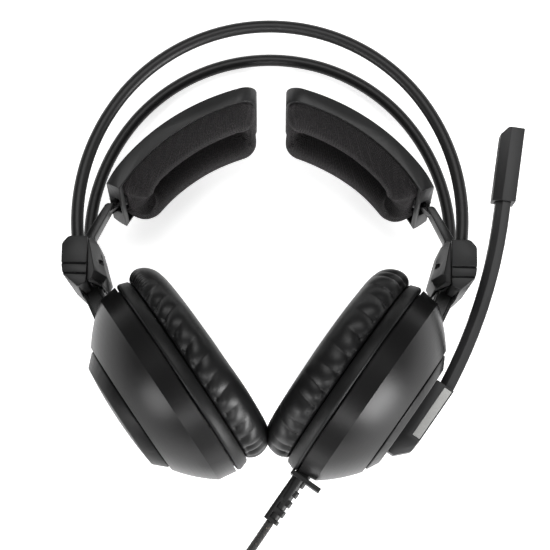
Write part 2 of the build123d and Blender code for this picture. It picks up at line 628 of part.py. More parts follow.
def mic_grille():
    """Slotted guard in the window on the mouth side of the head."""
    half = HEAD_WIDE / 2
    y_low, y_high = GRILLE_Y[0] + 0.1, GRILLE_Y[1] - 0.1
    body = block((-half + 0.2, -half + 1.0), (y_low, y_high), (7.1, 24.9))
    slots = 8
    for index in range(slots):
        z = 9.0 + index * 2.0
        body -= block((-half, -half + 2), (y_low + 0.9, y_high - 0.9), (z - 0.5, z + 0.5))
    return head_frame().location * body


def mic_capsule():
    body = Pos(-HEAD_WIDE / 2 + 3.2, 1.6, 16.0) * Rot(Y=90) * Cylinder(2.6, 3.6)
    return head_frame().location * body


# --- cord ---------------------------------------------------------------------------------------
FLANGE_IN, FLANGE_THICK, FLANGE_HALF = 2.8, 1.4, 5.0


def relief_room():
    """Notch through the rim for the strain relief and its inner flange, in the cup's own frame."""
    wide, low = RELIEF_R + CLEAR, -RIM_R - 3
    flange = FLANGE_HALF + CLEAR
    inner = -RIM_R + FLANGE_IN
    notch = block((low, inner + 1), (-wide, wide), (RELIEF_OUT - wide, RELIEF_OUT + wide))
    return notch + block((inner - CLEAR, inner + FLANGE_THICK + CLEAR), (-flange, flange),
                         (RELIEF_OUT - flange, RELIEF_OUT + flange))


def strain_relief():
    """Tapered rubber boot with staggered windows, an inner flange and a tab with a hole."""
    inner = -RIM_R + FLANGE_IN
    boot = Pos(inner, 0, RELIEF_OUT) * Rot(Y=-90) * extrude(
        RectangleRounded(2 * RELIEF_R, 2 * RELIEF_R, 1.6), amount=RELIEF_LONG + FLANGE_IN)
    lip = block((-RIM_R - 2.6, -RIM_R - 0.5), (-5.4, 5.4), (RELIEF_OUT - 5.0, RELIEF_OUT + 10.2))
    flange = block((inner, inner + FLANGE_THICK), (-FLANGE_HALF, FLANGE_HALF),
                   (RELIEF_OUT - FLANGE_HALF, RELIEF_OUT + FLANGE_HALF))
    body = boot + lip + flange
    for index in range(4):
        x = -RIM_R - 6.4 - index * 5.2
        floor = RELIEF_OUT - 1.2 if index % 2 else RELIEF_OUT + 0.4
        body -= block((x - 1.1, x + 1.1), (-6, 6), (floor, RELIEF_OUT + 5))
        for side in (-1, 1):
            body -= block((x - 1.5, x + 1.5), sorted((side * 2.4, side * 5)),
                          (RELIEF_OUT - 1.6, RELIEF_OUT + 1.6))
    body -= Pos(-RIM_R - 1.5, 0, RELIEF_OUT + 7.2) * Rot(Y=90) * Cylinder(1.3, 8)
    return on_cup(body)


# The cord is drawn where it lies: in the rest pose's own frame, with the table at zero.
CORD_LEAD = [(-11.39, -111.25, 59.45), (-19.9, -124.1, 60.8), (-31.2, -140.5, 52.0),
             (-39.2, -153.0, 33.0), (-50.2, -169.0, 12.5), (-61.7, -185.5, 2.6), (-65.2, -203.0, 2.0),
             (-62.3, -214.0, 2.0)]
COIL_AT = (-35.7, -212.0)
COIL_IN, COIL_OUT, COIL_HIGH = 13.4, 29.0, 13.6
CORD_TAIL = [(-37.7, -238.4, 2.0), (-22.7, -239.4, 2.0), (-2.7, -236.5, 2.0), (17.3, -229.5, 2.0),
             (34.3, -226.2, 3.6), (48.3, -226.0, 4.6)]
PLUG_R, PLUG_LONG, PLUG_BOOT_R, PLUG_BOOT_LONG = 4.4, 20.0, 2.9, 9.0
CORE_R = 0.8                  # insulating core inside the plug's contacts


def bend_radii(points):
    """Largest arc that each corner's two runs allow."""
    corners = [Vector(*point) for point in points]
    radii = []
    for before, corner, after in zip(corners, corners[1:], corners[2:]):
        run_in, run_out = corner - before, after - corner
        half_turn = math.radians(run_in.get_angle(run_out)) / 2
        radii.append(0.45 * min(run_in.length, run_out.length) / math.tan(half_turn))
    return radii


def cord_tube(points):
    path = FilletPolyline(*points, radius=bend_radii(points))
    return sweep(Plane(origin=path @ 0, z_dir=path % 0) * Circle(CORD_R), path=path)


def cord_coil():
    """The turns of the coiled cord as one solid ring, open where the coil is open."""
    wide = COIL_OUT - COIL_IN
    section = Pos((COIL_OUT + COIL_IN) / 2, COIL_HIGH / 2) * RectangleRounded(wide, COIL_HIGH, 4.5)
    return Pos(*COIL_AT, 0) * revolve(Plane.XZ * section, axis=Axis.Z)


def on_plug(shape):
    """Plug frame: Z runs from the cord to the tip."""
    frame = Plane(origin=CORD_TAIL[-1], x_dir=(0, 1, 0), z_dir=(1, 0, 0))
    return frame.location * shape


def plug_handle():
    body = disc(PLUG_BOOT_R, 0, PLUG_BOOT_LONG)
    for index in range(3):
        low = 1.6 + index * 2.4
        body -= disc(PLUG_BOOT_R + 1, low, low + 0.9, PLUG_BOOT_R - 0.7)
    grip = disc(PLUG_R, PLUG_BOOT_LONG, PLUG_BOOT_LONG + PLUG_LONG)
    rims = [edge for edge in grip.edges() if edge.geom_type == GeomType.CIRCLE]
    return on_plug(body + chamfer(rims, 0.8))


SLEEVE, RING, NOSE = 6.2, 1.9, 2.5
INSULATOR = 0.5


def plug_stack():
    """Start and end of each contact and each insulator along the pin."""
    z = PLUG_BOOT_LONG + PLUG_LONG
    contacts, insulators = [], []
    for length in (SLEEVE, RING, RING):
        contacts.append((z, z + length))
        insulators.append((z + length, z + length + INSULATOR))
        z += length + INSULATOR
    return contacts, insulators, z


def plug_contacts():
    contacts, _, z = plug_stack()
    made = [disc(PLUG_PIN_R, low, high, CORE_R) for low, high in contacts]
    made.append(turned_polygon([
        (CORE_R, z), (PLUG_PIN_R - 0.35, z), (PLUG_PIN_R - 0.05, z + 0.9), (PLUG_PIN_R - 0.7, z + 2.2),
        (0, z + NOSE), (0, z + 0.4), (CORE_R, z + 0.4)]))
    return on_plug(group(made))


def plug_insulators():
    _, insulators, z = plug_stack()
    core = disc(CORE_R - 0.02, PLUG_BOOT_LONG + PLUG_LONG, z + 0.35)
    for low, high in insulators:
        core += disc(PLUG_PIN_R, low, high)
    return on_plug(core)


# --- assembly -----------------------------------------------------------------------------------
def group(shapes):
    """Several separate solids in one node."""
    return Compound(children=[solid for shape in shapes for solid in shape.solids()])


def paired_nodes():
    """Pieces that are the same on both sides, mirrored for the left."""
    makers = {
        "bracket_outer": bracket_outer, "bracket_inner": bracket_inner, "yoke": yoke,
        "yoke_pin": yoke_pin, "arm_pin": arm_pin, "arm": arm, "pad_shell": pad_shell,
        "pad_cushion": pad_cushion, "pad_pin": pad_pin, "driver_basket": driver_basket,
        "driver_magnet": driver_magnet, "driver_cone": driver_cone, "driver_guard": driver_guard,
        "ear_cushion": ear_cushion, "cup_screws": cup_screws,
    }
    nodes = {}
    for name, make in makers.items():
        shape = make()
        nodes["right_" + name] = shape
        nodes["left_" + name] = other_side(shape)
    return nodes


def single_nodes():
    right_screws = bracket_screws()
    return {
        "front_bow": bow(-BOW_GAP / 2, BOW_R),
        "rear_bow": bow(BOW_GAP / 2, BOW_R),
        "bracket_screws": group(right_screws + [other_side(screw) for screw in right_screws]),
        "right_cup_shell": cup_shell(microphone=True),
        "left_cup_shell": other_side(cup_shell(microphone=False)),
        "right_cup_cap": cup_cap(microphone=True),
        "left_cup_cap": other_side(cup_cap(microphone=False)),
        "right_baffle": cup_baffle(cord_side=True),
        "left_baffle": other_side(cup_baffle(cord_side=False)),
        "mic_base": mic_base(),
        "mic_trim": mic_trim(),
        "mic_clip": mic_clip(),
        "mic_boom": boom(),
        "mic_head": mic_head(),
        "mic_grille": mic_grille(),
        "mic_capsule": mic_capsule(),
        "strain_relief": strain_relief(),
    }


def cord_nodes():
    return {
        "cord_lead": cord_tube(CORD_LEAD),
        "cord_coil": cord_coil(),
        "cord_tail": cord_tube(CORD_TAIL),
        "plug_handle": plug_handle(),
        "plug_contacts": plug_contacts(),
        "plug_insulators": plug_insulators(),
    }


placed = {name: lay_down(shape) for name, shape in (paired_nodes() | single_nodes()).items()}
placed.update(cord_nodes())
for name, shape in placed.items():
    export_step(shape, "parts/" + name + ".step")
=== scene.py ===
"""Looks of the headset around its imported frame.

Sizes are in millimetres, and MM or UPRIGHT turns them into metres. The camera, the lights, the cord's
length, its radius and its braid, and the radius of the strain relief's core are in metres already.
"""

import json
import math
import random

import bmesh
import bpy
import numpy as np
from mathutils import Matrix, Vector, noise


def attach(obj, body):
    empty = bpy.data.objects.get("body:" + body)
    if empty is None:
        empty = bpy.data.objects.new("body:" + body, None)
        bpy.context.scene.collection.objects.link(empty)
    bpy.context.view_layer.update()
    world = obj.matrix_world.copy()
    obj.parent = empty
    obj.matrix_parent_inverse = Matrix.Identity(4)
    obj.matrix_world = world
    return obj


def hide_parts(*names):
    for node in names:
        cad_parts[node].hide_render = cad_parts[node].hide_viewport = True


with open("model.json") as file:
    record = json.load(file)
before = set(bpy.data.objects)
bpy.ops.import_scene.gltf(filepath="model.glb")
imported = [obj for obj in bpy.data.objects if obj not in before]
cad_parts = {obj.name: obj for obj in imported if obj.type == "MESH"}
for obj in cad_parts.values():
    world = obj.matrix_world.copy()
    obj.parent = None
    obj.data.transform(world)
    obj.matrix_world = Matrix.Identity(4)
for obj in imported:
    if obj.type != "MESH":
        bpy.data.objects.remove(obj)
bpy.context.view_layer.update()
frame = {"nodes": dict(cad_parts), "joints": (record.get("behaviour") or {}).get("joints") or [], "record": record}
NODES = frame["nodes"]
MM = 0.001

# --- frames ---------------------------------------------------------------------------------------
# The part is drawn upright, with its bows over the cups, and then laid on its back.
REST_TILT = 8.565             # degrees that it leans as it rests on its cups and its rear bow
JOINTS = {joint["name"]: joint for joint in frame["joints"]}
MIDDLE_X = (JOINTS["left_cup_tilt"]["pos_m"][0] + JOINTS["right_cup_tilt"]["pos_m"][0]) / 2
# The scene's origin, in the millimetres of the part once it lies on its back.
ORIGIN_MM = (-MIDDLE_X / MM, -19.72, -39.71)
CUP_AT_MM = (41.4, 0.0, -69.5)
CUP_TILT = math.radians(34.6)
PAD_PIVOT_Z_MM = 14.5
PAD_PITCH = math.radians(12.0)

UPRIGHT = (Matrix.Scale(MM, 4) @ Matrix.Translation([-c for c in ORIGIN_MM])
           @ Matrix.Rotation(math.radians(-90 - REST_TILT), 4, "X"))
# A cup's own frame has its third axis out of the shell, so the cushion lies at negative heights.
CUP = Matrix.Translation(CUP_AT_MM) @ Matrix((
    (math.sin(CUP_TILT), 0, math.cos(CUP_TILT), 0),
    (0, -1, 0, 0),
    (math.cos(CUP_TILT), 0, -math.sin(CUP_TILT), 0),
    (0, 0, 0, 1)))
PITCH = (Matrix.Translation((0, 0, PAD_PIVOT_Z_MM)) @ Matrix.Rotation(-PAD_PITCH, 4, "X")
         @ Matrix.Translation((0, 0, -PAD_PIVOT_Z_MM)))
MIRROR = Matrix.Scale(-1, 4, (1, 0, 0))

CAMERA_AT = (-0.01045, -0.02684, 0.7545)
CAMERA_TARGET = (-0.01045, -0.00154, 0.04291)
CAMERA_LENS = 102.4
CAMERA_ROLL = math.radians(0.6)


def camera():
    data = bpy.data.cameras.new("camera")
    data.sensor_width = 36
    data.lens = CAMERA_LENS
    data.clip_start, data.clip_end = 0.01, 20
    obj = bpy.data.objects.new("camera", data)
    bpy.context.scene.collection.objects.link(obj)
    look = (Vector(CAMERA_TARGET) - Vector(CAMERA_AT)).normalized()
    side = look.cross(Vector((0, 1, 0))).normalized()
    up = side.cross(look)
    turn = Matrix((side, up, -look)).transposed() @ Matrix.Rotation(CAMERA_ROLL, 3, "Z")
    obj.matrix_world = Matrix.Translation(CAMERA_AT) @ turn.to_4x4()
    bpy.context.scene.camera = obj


# --- mesh helpers ---------------------------------------------------------------------------------
BODY_OF = {node: body for body, nodes in frame["record"]["behaviour"]["bodies"].items() for node in nodes}
SLOT_OF = {part["node"]: part["material_slot"] for part in frame["record"]["subparts"]}


def new_object(name, data):
    obj = bpy.data.objects.new(name, data)
    bpy.context.scene.collection.objects.link(obj)
    return obj


def grid_mesh(name, points, closed=True, flip=False, uv=None, uv_step=None):
    """A mesh from a (rows, columns, 3) array. Its columns close into a ring, and so do its rows if
    closed. Its UVs are in metres, from uv at each point or from uv_step, the size of a face."""
    rows, columns = points.shape[:2]
    faces = []
    for i in range(rows if closed else rows - 1):
        for j in range(columns):
            face = [(i, j), (i, j + 1), (i + 1, j + 1), (i + 1, j)]
            faces.append(face[::-1] if flip else face)
    corners = np.array(faces).reshape(-1, 2)
    index = (corners[:, 0] % rows) * columns + corners[:, 1] % columns
    mesh = bpy.data.meshes.new(name)
    mesh.from_pydata(points.reshape(-1, 3).tolist(), [], index.reshape(-1, 4).tolist())
    if uv is not None:
        mesh.uv_layers.new(name="UVMap").data.foreach_set("uv", uv.reshape(-1, 2)[index].reshape(-1))
    elif uv_step is not None:
        mesh.uv_layers.new(name="UVMap").data.foreach_set("uv", (corners * uv_step).reshape(-1))
    mesh.shade_smooth()
    mesh.update()
    return mesh


def placed(side, frame_of_piece):
    """The matrix from a piece's own frame, drawn for the right side, to the scene."""
    return UPRIGHT @ (MIRROR if side == "left" else Matrix.Identity(4)) @ frame_of_piece


def mapped(points, matrix):
    """Applies a 4x4 matrix to a (..., 3) array."""
    m = np.array(matrix)
    return points @ m[:3, :3].T + m[:3, 3]


def softened(node, width_mm):
    """A copy of a CAD node with bevelled edges, which stands for it."""
    flat, rounded_from, sharp_from = math.radians(1.5), math.radians(35), math.radians(38)
    source = NODES[node]
    mesh = source.data.copy()
    mesh.name = node + "_piece"
    bm = bmesh.new()
    bm.from_mesh(mesh)
    bmesh.ops.remove_doubles(bm, verts=bm.verts, dist=MM / 1000)
    bmesh.ops.dissolve_limit(bm, angle_limit=flat, verts=bm.verts, edges=bm.edges)
    bm.to_mesh(mesh)
    bm.free()
    piece = new_object(node + "_piece", mesh)
    bevel = piece.modifiers.new("edges", "BEVEL")
    bevel.width = width_mm * MM
    bevel.segments = 2
    bevel.limit_method = "ANGLE"
    bevel.angle_limit = rounded_from
    bevel.use_clamp_overlap = False
    bevel.harden_normals = True
    apply_modifiers(piece)
    piece.data.shade_smooth()
    piece.data.set_sharp_from_angle(angle=sharp_from)
    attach(piece, BODY_OF[node])
    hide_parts(node)
    return piece


def apply_modifiers(obj):
    bpy.context.view_layer.update()
    graph = bpy.context.evaluated_depsgraph_get()
    mesh = bpy.data.meshes.new_from_object(obj.evaluated_get(graph))
    obj.modifiers.clear()
    old = obj.data
    obj.data = mesh
    mesh.name = obj.name
    bpy.data.meshes.remove(old)


# --- materials ------------------------------------------------------------------------------------
class Shader:
    """A small builder for node materials with object or UV coordinates."""

    def __init__(self, name, base, roughness, metallic=0.0, **sockets):
        self.material = bpy.data.materials.new(name)
        self.material.use_nodes = True
        self.tree = self.material.node_tree
        self.bsdf = self.tree.nodes["Principled BSDF"]
        self.bsdf.inputs["Base Color"].default_value = (*base, 1)
        self.bsdf.inputs["Roughness"].default_value = roughness
        self.bsdf.inputs["Metallic"].default_value = metallic
        for key, value in sockets.items():
            self.bsdf.inputs[key.replace("_", " ")].default_value = value
        self.coords = self.tree.nodes.new("ShaderNodeTexCoord")
        self.normal = None

    def node(self, kind, **values):
        made = self.tree.nodes.new("ShaderNode" + kind)
        for key, value in values.items():
            if key in made.inputs:
                made.inputs[key].default_value = value
            else:
                setattr(made, key, value)
        return made

    def link(self, start, end):
        self.tree.links.new(start, end)

    def mapping(self, coordinates, **values):
        made = self.node("Mapping", **values)
        self.link(self.coords.outputs[coordinates], made.inputs["Vector"])
        return made.outputs["Vector"]

    def turned_uv(self, degrees):
        return self.mapping("UV", Rotation=(0, 0, math.radians(degrees)))

    def noise(self, scale, detail=2.0, where=None):
        made = self.node("TexNoise", Scale=scale, Detail=detail)
        self.link(where if where is not None else self.coords.outputs["Object"], made.inputs["Vector"])
        return made.outputs["Fac"]

    def voronoi(self, scale, feature="F1", where=None):
        made = self.node("TexVoronoi", feature=feature, Scale=scale)
        self.link(where if where is not None else self.coords.outputs["Object"], made.inputs["Vector"])
        return made.outputs["Distance"]

    def bands(self, pitch_mm, degrees):
        """Parallel bands a pitch apart in the UV plane, turned by an angle."""
        made = self.node("TexWave", bands_direction="X", Scale=1 / (pitch_mm * MM) / 2)
        self.link(self.turned_uv(degrees), made.inputs["Vector"])
        return made.outputs["Fac"]

    def math(self, operation, a, b):
        made = self.node("Math", operation=operation)
        for socket, value in zip(made.inputs, (a, b)):
            if isinstance(value, (int, float)):
                socket.default_value = value
            else:
                self.link(value, socket)
        return made.outputs[0]

    def ramp(self, factor, *stops):
        """A colour ramp between two stops, each a position and a colour."""
        made = self.node("ValToRGB")
        for element, (position, color) in zip(made.color_ramp.elements, stops):
            element.position, element.color = position, (*color, 1)
        self.link(factor, made.inputs["Fac"])
        return made.outputs["Color"]

    def shades(self, factor, base, *stops):
        """A ramp between two shares of the base colour, each given with its position."""
        return self.ramp(factor, *((position, [c * share for c in base]) for position, share in stops))

    def spread(self, factor, low, high):
        made = self.node("MapRange")
        made.inputs["To Min"].default_value = low
        made.inputs["To Max"].default_value = high
        self.link(factor, made.inputs["Value"])
        return made.outputs["Result"]

    def bump(self, height, distance_mm, strength=1.0):
        """Adds a relief on top of those added before."""
        made = self.node("Bump", Strength=strength, Distance=distance_mm * MM)
        self.link(height, made.inputs["Height"])
        if self.normal is not None:
            self.link(self.normal, made.inputs["Normal"])
        self.normal = made.outputs["Normal"]

    def done(self, color=None, roughness=None):
        if color is not None:
            self.link(color, self.bsdf.inputs["Base Color"])
        if roughness is not None:
            self.link(roughness, self.bsdf.inputs["Roughness"])
        if self.normal is not None:
            self.link(self.normal, self.bsdf.inputs["Normal"])
        return self.material


def moulded(name, base, roughness, grain_mm=0.35, depth_mm=0.02, vary=0.12, level=0.5):
    """Moulded plastic: a fine spark-eroded grain and slightly uneven gloss."""
    s = Shader(name, base, roughness, Specular_IOR_Level=level)
    s.bump(s.voronoi(1 / (grain_mm * MM)), depth_mm)
    cloud = s.noise(45, 3)
    tint = s.shades(cloud, base, (0.3, 0.86), (0.7, 1.12))
    return s.done(tint, s.spread(cloud, roughness - vary * 0.5, roughness + vary * 0.5))


def painted(name, base, roughness, metallic, level, axis=None):
    """Satin paint with a fine metal flake; with an axis, it keeps the turning lines around it."""
    s = Shader(name, base, roughness, metallic, Specular_IOR_Level=level)
    s.bump(s.noise(420, 2), 0.015)
    s.bump(s.voronoi(1 / (0.12 * MM)), 0.003)
    cloud = s.noise(30, 3)
    gloss = s.spread(cloud, roughness - 0.03, roughness + 0.04)
    if axis is not None:
        height = s.node("VectorMath", operation="DOT_PRODUCT")
        s.link(s.coords.outputs["Object"], height.inputs[0])
        height.inputs[1].default_value = axis
        lines = s.node("TexNoise", noise_dimensions="1D", Scale=1 / (0.45 * MM), Detail=3.0)
        s.link(height.outputs["Value"], lines.inputs["W"])
        s.bump(lines.outputs["Fac"], 0.012)
        gloss = s.math("ADD", gloss, s.spread(lines.outputs["Fac"], -0.05, 0.05))
    return s.done(s.shades(cloud, base, (0.3, 0.9), (0.7, 1.1)), gloss)


def leatherette():
    """Thin coated leatherette: polygonal grain cells, fine noise and uneven gloss."""
    base = (0.0042, 0.0042, 0.0044)
    s = Shader("leatherette", base, 0.44, Specular_IOR_Level=0.32)
    cells = s.voronoi(1 / (0.7 * MM), "DISTANCE_TO_EDGE")
    grain = s.math("MINIMUM", cells, 0.16)
    s.bump(grain, 0.07, 0.5)
    s.bump(s.noise(2600, 3), 0.012)
    s.bump(s.noise(260, 2), 0.05)
    cloud = s.noise(60, 4)
    tint = s.shades(cloud, base, (0.3, 0.75), (0.72, 1.35))
    return s.done(tint, s.spread(cloud, 0.38, 0.48))


def air_mesh():
    """Ribbed spacer cloth: ribs at one angle, crossed by rows of ribs at another; painted shade in the grooves."""
    base = (0.0065, 0.0056, 0.0061)
    s = Shader("mesh_cloth", base, 0.85, Sheen_Weight=0.25, Sheen_Roughness=0.4)
    s.bsdf.inputs["Sheen Tint"].default_value = (0.5, 0.45, 0.47, 1)
    mixed = s.node("Mix", data_type="FLOAT")
    s.link(s.math("GREATER_THAN", s.bands(7.0, 45), 0.62), mixed.inputs[0])
    s.link(s.bands(1.3, 18), mixed.inputs[2])
    s.link(s.bands(1.3, -62), mixed.inputs[3])
    rib = mixed.outputs[0]
    s.bump(rib, 0.34)
    s.bump(s.voronoi(1 / (0.4 * MM), where=s.turned_uv(45)), 0.1)
    # The colour follows the ribs' height: darker in the grooves as painted shade, lighter on the ribs as painted
    # light.
    return s.done(s.shades(rib, base, (0.15, 0.2), (0.9, 2.3)))


def braid():
    """Braided sleeve: two sets of diagonal strands, with a few lighter threads."""
    base = (0.0085, 0.0078, 0.0072)
    s = Shader("braid", base, 0.7, Sheen_Weight=0.2, Sheen_Roughness=0.4)
    left, right = s.bands(1.1, 45), s.bands(1.1, -45)
    s.bump(s.math("MAXIMUM", left, right), 0.25)
    s.bump(s.bands(0.28, 45), 0.05)
    fleck = s.math("GREATER_THAN", s.noise(900, 1), 0.66)
    return s.done(s.ramp(s.math("MULTIPLY", fleck, right), (0.1, base), (0.8, (0.16, 0.12, 0.085))))


def metal(name, base, roughness):
    """Bare metal with short fine scratches and uneven gloss."""
    s = Shader(name, base, roughness, 1.0)
    s.bump(s.noise(1 / (0.3 * MM), 3, s.mapping("Object", Scale=(1, 1, 6))), 0.004)
    return s.done(None, s.spread(s.noise(200, 3), roughness - 0.05, roughness + 0.07))


CUP_AXIS = (UPRIGHT.to_3x3() @ CUP.to_3x3() @ Vector((0, 0, 1))).normalized()
LEFT_CUP_AXIS = Vector((-CUP_AXIS.x, CUP_AXIS.y, CUP_AXIS.z))
SHELL = {"base": (0.008, 0.0078, 0.008), "roughness": 0.34, "metallic": 0.2, "level": 0.22}
# By material slot, or by the name of a node that has a material of its own. The left cap's is a darker, duller
# copy of the cap's: painted shade.
MATERIALS = {
    "bow": painted("bow", (0.009, 0.0088, 0.009), 0.44, 0.15, 0.4),
    "bracket": moulded("bracket", (0.0092, 0.0093, 0.0095), 0.48, level=0.34),
    "yoke": moulded("yoke", (0.004, 0.004, 0.004), 0.36, level=0.4),
    "arm": moulded("arm", (0.009, 0.009, 0.0092), 0.38, level=0.4),
    "pad_shell": moulded("pad_shell", (0.018, 0.018, 0.0182), 0.44, 0.3, 0.012, level=0.35),
    "mesh_cloth": air_mesh(),
    "cup_shell": painted("cup_shell", axis=CUP_AXIS, **SHELL),
    "left_cup_shell": painted("left_cup_shell", axis=LEFT_CUP_AXIS, **SHELL),
    "cup_cap": painted("cup_cap", (0.006, 0.006, 0.0062), 0.38, 0.2, 0.2, CUP_AXIS),
    # A darker, less glossy copy of cup_cap for the left cap only: painted shade.
    "left_cup_cap": painted("left_cup_cap", (0.004, 0.004, 0.0042), 0.42, 0.1, 0.12, LEFT_CUP_AXIS),
    "baffle": moulded("baffle", (0.006, 0.006, 0.0062), 0.48, 0.25, 0.008, level=0.22),
    "inner_plastic": moulded("inner_plastic", (0.006, 0.006, 0.006), 0.5),
    "leatherette": leatherette(),
    "steel": metal("steel", (0.3, 0.3, 0.31), 0.32),
    "mic_body": moulded("mic_body", (0.026, 0.026, 0.0265), 0.5, 0.3, 0.012, level=0.4),
    "mic_trim": metal("mic_trim", (0.36, 0.36, 0.35), 0.4),
    "mic_grille": moulded("mic_grille", (0.012, 0.012, 0.012), 0.5),
    "rubber": moulded("rubber", (0.006, 0.006, 0.006), 0.52, 0.3, 0.015, level=0.35),
    "braid": braid(),
    "plug_body": moulded("plug_body", (0.012, 0.012, 0.012), 0.4),
    "plug_metal": metal("plug_metal", (0.75, 0.5, 0.2), 0.22),
}


def finish_of(node):
    """The material of a CAD node: one of its own, or else that of its slot."""
    return node if node in MATERIALS else SLOT_OF[node]


def give(obj, finish):
    obj.data.materials.clear()
    obj.data.materials.append(MATERIALS[finish])


# --- ear cushions ---------------------------------------------------------------------------------
RING_R, RING_BORE, RING_SEAM = 49.0, 27.0, -6.6     # outer and bore radius, and height of the seam
RING_HIDDEN = 21.5            # length of the profile's last stretch: foot of the bore wall and underside
FACE_SEAM = 26.5              # where the seam on the face lies along the profile
# How each cushion is gathered at its seam: number of pleats, their depth and length in millimetres,
# how far they lean to one side per millimetre of length, and the stretch in radians that has only
# fine gathers.
GATHERS = {
    "right": {"pleats": 32, "deep": (1.2, 2.1), "long": (14.0, 24.0), "lean": 0.1, "fine": (6.0, 6.2)},
    "left": {"pleats": 36, "deep": (1.7, 2.4), "long": (13.0, 17.0), "lean": 0.3, "fine": (0.1, 0.75)},
}
UPPER_FULL = 0.034            # how much fuller each cushion is at its upper end


def ring_profile(count):
    """Closed outline (radius, height) of the cushion, evenly spaced, from the outer seam over the
    outer shoulder, the face and the bore, and back under the cushion; and the length along it."""
    corners = [
        (46.2, -6.6), (48.0, -7.6), (49.3, -10.2), (49.3, -13.5), (47.8, -17.2), (45.0, -20.2), (41.4, -21.9),
        (37.5, -22.3), (33.6, -21.6), (30.3, -19.6), (28.1, -16.6), (27.2, -13.2), (27.3, -9.6), (28.6, -6.9),
        (30.5, -6.6), (38.0, -6.6), (44.5, -6.6)]
    ring = np.array(corners)
    fine = []
    n = len(ring)
    for i in range(n):
        p0, p1, p2, p3 = ring[i - 1], ring[i], ring[(i + 1) % n], ring[(i + 2) % n]
        for step in range(24):
            t = step / 24
            fine.append(0.5 * ((2 * p1) + (p2 - p0) * t + (2 * p0 - 5 * p1 + 4 * p2 - p3) * t * t
                               + (3 * p1 - p0 - 3 * p2 + p3) * t ** 3))
    fine = np.array(fine + [fine[0]])
    run = np.concatenate([[0], np.cumsum(np.linalg.norm(np.diff(fine, axis=0), axis=1))])
    at = np.linspace(0, run[-1], count, endpoint=False)
    outline = np.stack([np.interp(at, run, fine[:, 0]), np.interp(at, run, fine[:, 1])], 1)
    return outline, at, run[-1]


def fold_field(angles, s, total, seed, gathers):
    """How far the leatherette is drawn in between its pleats, in millimetres, by angle and length.

    There are pleats and fine gathers at the outer seam, and gathers at the bore's seam.
    """
    draw = random.Random(seed)
    count = gathers["pleats"]
    fine_from, fine_to = gathers["fine"]
    spacing = 2 * math.pi * RING_R / count
    field = np.zeros((len(angles), len(s)))
    a, along = angles[:, None], s[None, :]

    def off_from(centre, radius):
        return ((a - centre + math.pi) % (2 * math.pi) - math.pi) * radius

    for index in range(count):
        centre = 2 * math.pi * (index + draw.uniform(-0.13, 0.13)) / count
        depth = draw.uniform(*gathers["deep"])
        low, high = gathers["long"]
        length = low + (high - low) * draw.random() ** 1.5
        lean, bend = gathers["lean"] + draw.gauss(0, 0.035), draw.gauss(0, 0.002)
        if fine_from < centre < fine_to:
            depth, length = depth * 0.25, 8.0
        off = off_from(centre, RING_R) + lean * along + bend * along ** 2
        fade = np.clip((length - along) / (0.75 * length), 0, 1)
        valley = (1 - np.clip(np.sqrt(off ** 2 + 0.1) / (0.9 * spacing), 0, 1)) ** 2.5
        field -= depth * fade * fade * (3 - 2 * fade) * valley
    small = count * 4
    for index in range(small):
        centre = 2 * math.pi * (index + draw.uniform(-0.3, 0.3)) / small
        fine = fine_from < centre < fine_to
        depth, length = (0.6, 9.0) if fine else (draw.uniform(0.05, 0.22), draw.uniform(3.0, 6.0))
        fade = np.clip(1 - along / length, 0, 1)
        field -= fade * depth * np.exp(-(off_from(centre, RING_R) / 0.55) ** 2)
    back = total - RING_HIDDEN - along     # distance from the bore's seam, along the bore wall
    for index in range(count):
        centre = 2 * math.pi * (index + draw.uniform(-0.3, 0.3)) / count
        depth, length = draw.uniform(0.2, 0.7), draw.uniform(5.0, 10.0)
        fade = np.clip(1 - np.abs(back) / length, 0, 1) * (back > -2)
        field -= fade * depth * np.exp(-(off_from(centre, RING_BORE) / 0.9) ** 2)
    return field


def ear_cushion(side, seed, thin=0.0):
    """The gathered leatherette ring; thin is the share of its height that its upper end lacks."""
    around, across, coarse = 900, 96, 6
    outline, s, total = ring_profile(across)
    angles = np.linspace(0, 2 * math.pi, around, endpoint=False)
    field = fold_field(angles, s, total, seed, GATHERS[side])
    tangent = np.roll(outline, -1, 0) - np.roll(outline, 1, 0)
    tangent /= np.linalg.norm(tangent, axis=1)[:, None]
    normal = np.stack([-tangent[:, 1], tangent[:, 0]], 1)
    inside = np.array([38.0, -14.0])
    if (normal[8] @ (outline[8] - inside)) < 0:
        normal = -normal
    soft = np.array([[noise.noise(Vector((math.cos(a) * 2.2 + seed, math.sin(a) * 2.2, v / 14))) for v in s]
                     for a in angles[::coarse]])
    soft = np.repeat(soft, coarse, 0)
    kernel = np.ones(2 * coarse + 1) / (2 * coarse + 1)
    wrapped = np.concatenate([soft[-coarse:], soft, soft[:coarse]])
    soft = np.stack([np.convolve(wrapped[:, j], kernel, "valid") for j in range(across)], 1)
    faded = np.clip((total - RING_HIDDEN + 1 - s) / 3, 0, 1) * np.clip(s / 2.5, 0.2, 1)
    groove = (-0.38 * np.exp(-((s - FACE_SEAM) / 0.55) ** 2)
              + 0.16 * np.exp(-((s - FACE_SEAM + 1.5) / 0.8) ** 2))
    push = (field + 0.3 * soft + groove[None, :]) * faded[None, :]
    radius = outline[None, :, 0] + push * normal[None, :, 0]
    height = outline[None, :, 1] + push * normal[None, :, 1]
    height = np.minimum(height, RING_SEAM)
    upper = (1 + np.cos(angles)[:, None]) / 2
    radius = radius * (1 + UPPER_FULL * upper ** 2 * np.clip((outline[None, :, 0] - 34) / 10, 0, 1))
    height = RING_SEAM + (height - RING_SEAM) * (1 - thin * upper)
    points = np.stack([radius * np.cos(angles)[:, None], radius * np.sin(angles)[:, None], height], 2)
    points = mapped(points, placed(side, CUP))
    mesh = grid_mesh(side + "_ear_cushion_leather", points, flip=side == "right")
    obj = new_object(side + "_ear_cushion_leather", mesh)
    give(obj, "leatherette")
    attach(obj, side + "_cup")
    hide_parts(side + "_ear_cushion")


